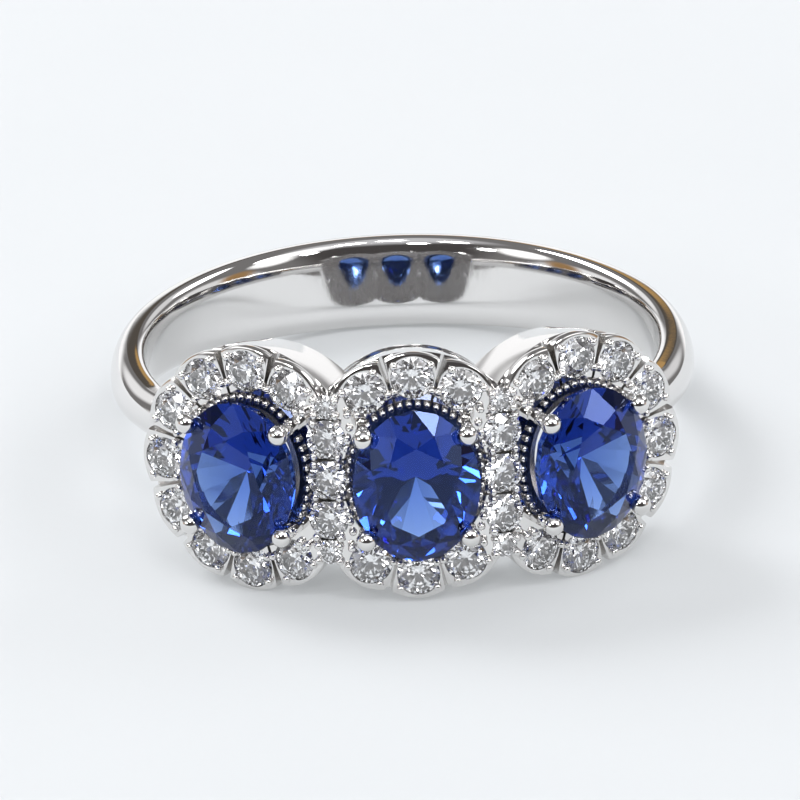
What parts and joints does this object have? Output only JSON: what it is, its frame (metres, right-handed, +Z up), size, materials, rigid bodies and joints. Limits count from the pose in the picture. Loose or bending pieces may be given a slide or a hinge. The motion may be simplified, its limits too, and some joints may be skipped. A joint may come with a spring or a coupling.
{
  "type": "three stone ring",
  "caption": "Ring with oval blue stones side by side, each in a halo of small round clear stones, on a polished tapering shank.",
  "frame": {"origin": "on the table, under the middle of the ring's box, with the ring lying on its side", "axes": "+Z up from the table, -Y the way the sapphires face, +X to the right of someone who faces the sapphires; the finger axis lies in the YZ plane and leans a few degrees from +Z"},
  "size_m": [0.0194, 0.0223, 0.0083],
  "materials": {
    "white_gold": "polished white gold",
    "sapphire": "faceted, polished",
    "diamond": "faceted, polished"
  },
  "bodies": {
    "root": {"mount": "white_gold", "sapphire_left": "sapphire", "sapphire_centre": "sapphire", "sapphire_right": "sapphire", "diamond_01": "diamond", "diamond_02": "diamond", "diamond_03": "diamond", "diamond_04": "diamond", "diamond_05": "diamond", "diamond_06": "diamond", "diamond_07": "diamond", "diamond_08": "diamond", "diamond_09": "diamond", "diamond_10": "diamond", "diamond_11": "diamond", "diamond_12": "diamond", "diamond_13": "diamond", "diamond_14": "diamond", "diamond_15": "diamond", "diamond_16": "diamond", "diamond_17": "diamond", "diamond_18": "diamond", "diamond_19": "diamond", "diamond_20": "diamond", "diamond_21": "diamond", "diamond_22": "diamond", "diamond_23": "diamond", "diamond_24": "diamond", "diamond_25": "diamond", "diamond_26": "diamond", "diamond_27": "diamond", "diamond_28": "diamond", "diamond_29": "diamond", "diamond_30": "diamond", "diamond_31": "diamond", "diamond_32": "diamond", "diamond_33": "diamond", "diamond_34": "diamond"}
  },
  "joints": []
}
